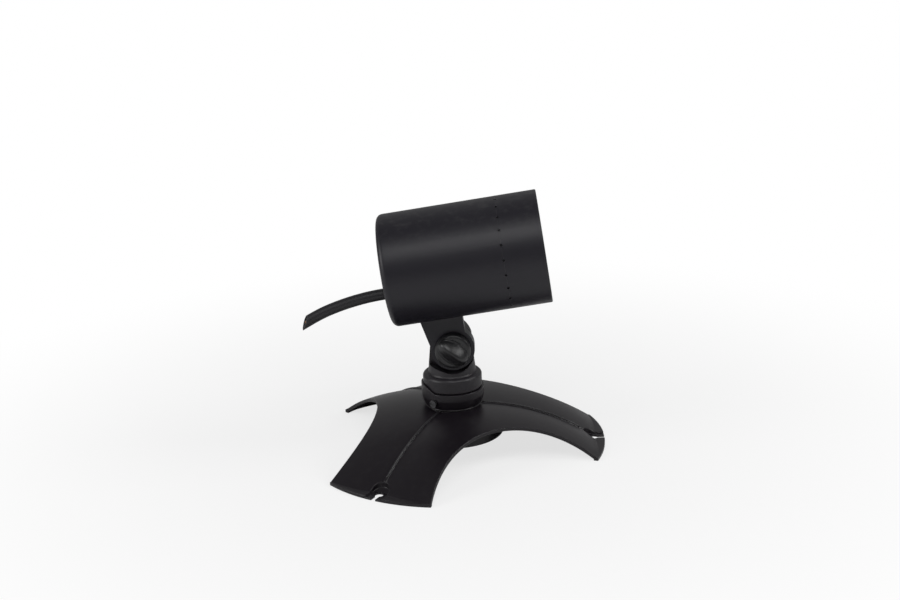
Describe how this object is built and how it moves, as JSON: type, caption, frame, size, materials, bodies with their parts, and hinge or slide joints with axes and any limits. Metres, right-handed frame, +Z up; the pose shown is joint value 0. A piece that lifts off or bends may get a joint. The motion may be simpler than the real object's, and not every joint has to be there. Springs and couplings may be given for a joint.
{
  "type": "adjustable garden spotlight",
  "caption": "Adjustable low-voltage spotlight: round recessed-lens head on a thumb-knob knuckle, turning on a bayonet hub over an arched base with splayed feet.",
  "frame": {"origin": "on the hub axis at the level of the ground the feet stand on, where a ground spike would enter the ground", "axes": "+Z up along the hub axis, +X the way the lamp shines, -Y the side the thumb knob is on"},
  "size_m": [0.2103, 0.212, 0.1855],
  "materials": {
    "black_plastic": "satin moulded",
    "stainless_steel": "bright",
    "brass": "plain",
    "fibre": "matt",
    "rubber": "matt",
    "frosted_lens": "frosted",
    "mirror_plastic": "vacuum metallised",
    "led_yellow": "phosphor gel",
    "white_plastic": "matt",
    "aluminium": "as cast",
    "circuit_board": "solder resist",
    "transformer_tape": "taped",
    "copper": "enamelled wire",
    "cable_rubber": "matt sheath",
    "lead_insulation": "plain"
  },
  "bodies": {
    "base": {"base_plate": "black_plastic", "lock_screw": "stainless_steel"},
    "post": {"swivel_post": "black_plastic", "clamp_nut": "brass", "friction_washer": "fibre"},
    "knob": {"knob": "black_plastic", "clamp_bolt": "stainless_steel", "knob_washer": "stainless_steel"},
    "head": {"housing": "black_plastic", "front_bezel": "black_plastic", "lens_gasket": "rubber", "lens": "frosted_lens", "lens_retainer": "black_plastic", "reflector": "mirror_plastic", "led_emitter": "led_yellow", "led_holder": "white_plastic", "led_screws": "stainless_steel", "heat_sink": "aluminium", "heat_sink_screws": "stainless_steel", "driver_board": "circuit_board", "board_screws": "stainless_steel", "transformer": "transformer_tape", "capacitors": "black_plastic", "choke": "copper", "terminal_block": "white_plastic", "rear_cover": "black_plastic", "rear_gasket": "rubber", "cover_screws": "stainless_steel", "gland_body": "black_plastic", "gland_seal": "rubber", "gland_nut": "black_plastic", "gland_locknut": "black_plastic", "cable_boot": "rubber", "cable_inner": "cable_rubber", "cable": "cable_rubber", "supply_leads": "lead_insulation", "led_leads": "lead_insulation"}
  },
  "joints": [
    {"name": "bayonet_twist", "type": "hinge", "parent": "base", "child": "post", "pos_m": [0, 0, 0.04], "axis": [0, 0, 1], "range_deg": [0, 10]},
    {"name": "head_tilt", "type": "hinge", "parent": "post", "child": "head", "pos_m": [0.0015, 0, 0.076], "axis": [0, -1, 0], "range_deg": [-62, 62]},
    {"name": "knob_turn", "type": "hinge", "parent": "post", "child": "knob", "pos_m": [0.0015, 0, 0.076], "axis": [0, -1, 0], "continuous": true}
  ]
}
